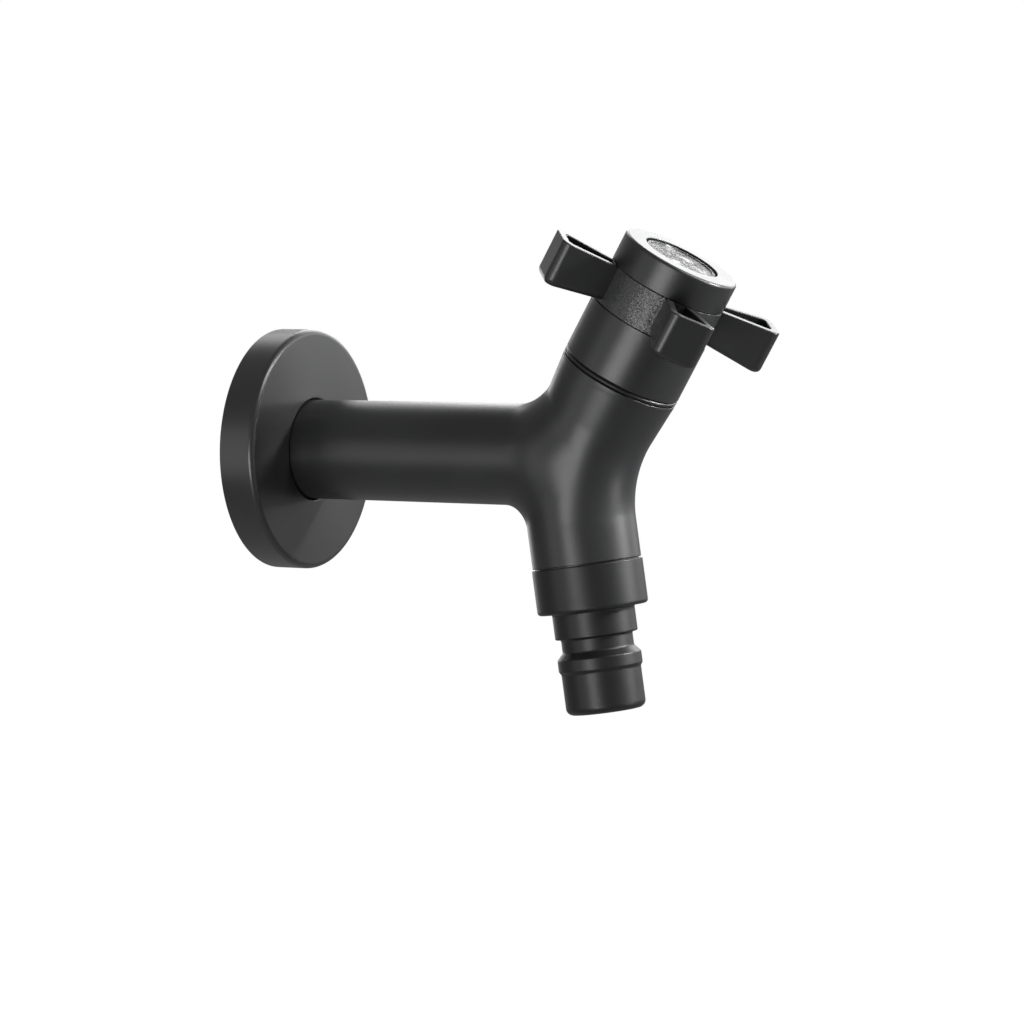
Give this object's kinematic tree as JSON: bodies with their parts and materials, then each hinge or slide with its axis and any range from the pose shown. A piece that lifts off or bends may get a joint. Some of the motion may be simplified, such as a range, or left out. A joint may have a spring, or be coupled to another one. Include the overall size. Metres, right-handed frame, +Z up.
{
  "type": "garden tap",
  "caption": "Wall-mounted garden tap with a round flange, a straight inlet pipe, a Y-shaped body, a quarter-turn cross handle and a stepped hose nozzle, in matt black.",
  "frame": {"origin": "on the inlet pipe's axis in the plane of the wall, at the back of the flange", "axes": "+X out of the wall along the inlet pipe, +Z up, Y across; the branches lie in the XZ plane"},
  "size_m": [0.1339, 0.058, 0.1133],
  "materials": {
    "black_coat": "matt black powder coat over brass",
    "black_coat_steel": "matt black powder coat over pressed steel",
    "brass": "turned, bare",
    "steel": "plain stainless steel",
    "silver_disc": "hammered silver",
    "rubber": "smooth black rubber",
    "ceramic": "lapped white ceramic",
    "slip_plastic": "smooth white plastic",
    "insert_plastic": "dark grey moulded plastic"
  },
  "bodies": {
    "body": {"tap_body": "black_coat", "cartridge_housing": "brass", "cartridge_o_ring": "rubber", "cartridge_seat_seal": "rubber", "ceramic_disc_fixed": "ceramic", "friction_washer": "slip_plastic", "bonnet_ring": "black_coat", "bonnet_sleeve": "black_coat", "hose_adaptor": "black_coat", "outlet_washer": "rubber", "straightener_seal": "rubber", "flow_straightener": "insert_plastic"},
    "handle": {"handle_cross": "black_coat", "handle_insert": "brass", "screw_washer": "steel", "handle_screw": "steel", "handle_cap_ring": "black_coat", "index_disc": "silver_disc", "index_o_ring": "rubber", "spindle": "brass", "spindle_clip": "steel", "spindle_o_ring_lower": "rubber", "spindle_o_ring_upper": "rubber", "ceramic_disc_rotating": "ceramic"},
    "flange": {"wall_flange": "black_coat_steel", "flange_o_ring": "rubber"}
  },
  "joints": [
    {"name": "handle_turn", "type": "hinge", "parent": "body", "child": "handle", "pos_m": [0.0804, 0, 0], "axis": [0.4909, 0, 0.8712], "range_deg": [-90, 0]},
    {"name": "flange_slide", "type": "slide", "parent": "body", "child": "flange", "axis": [1, 0, 0], "range_m": [0, 0.03]}
  ]
}
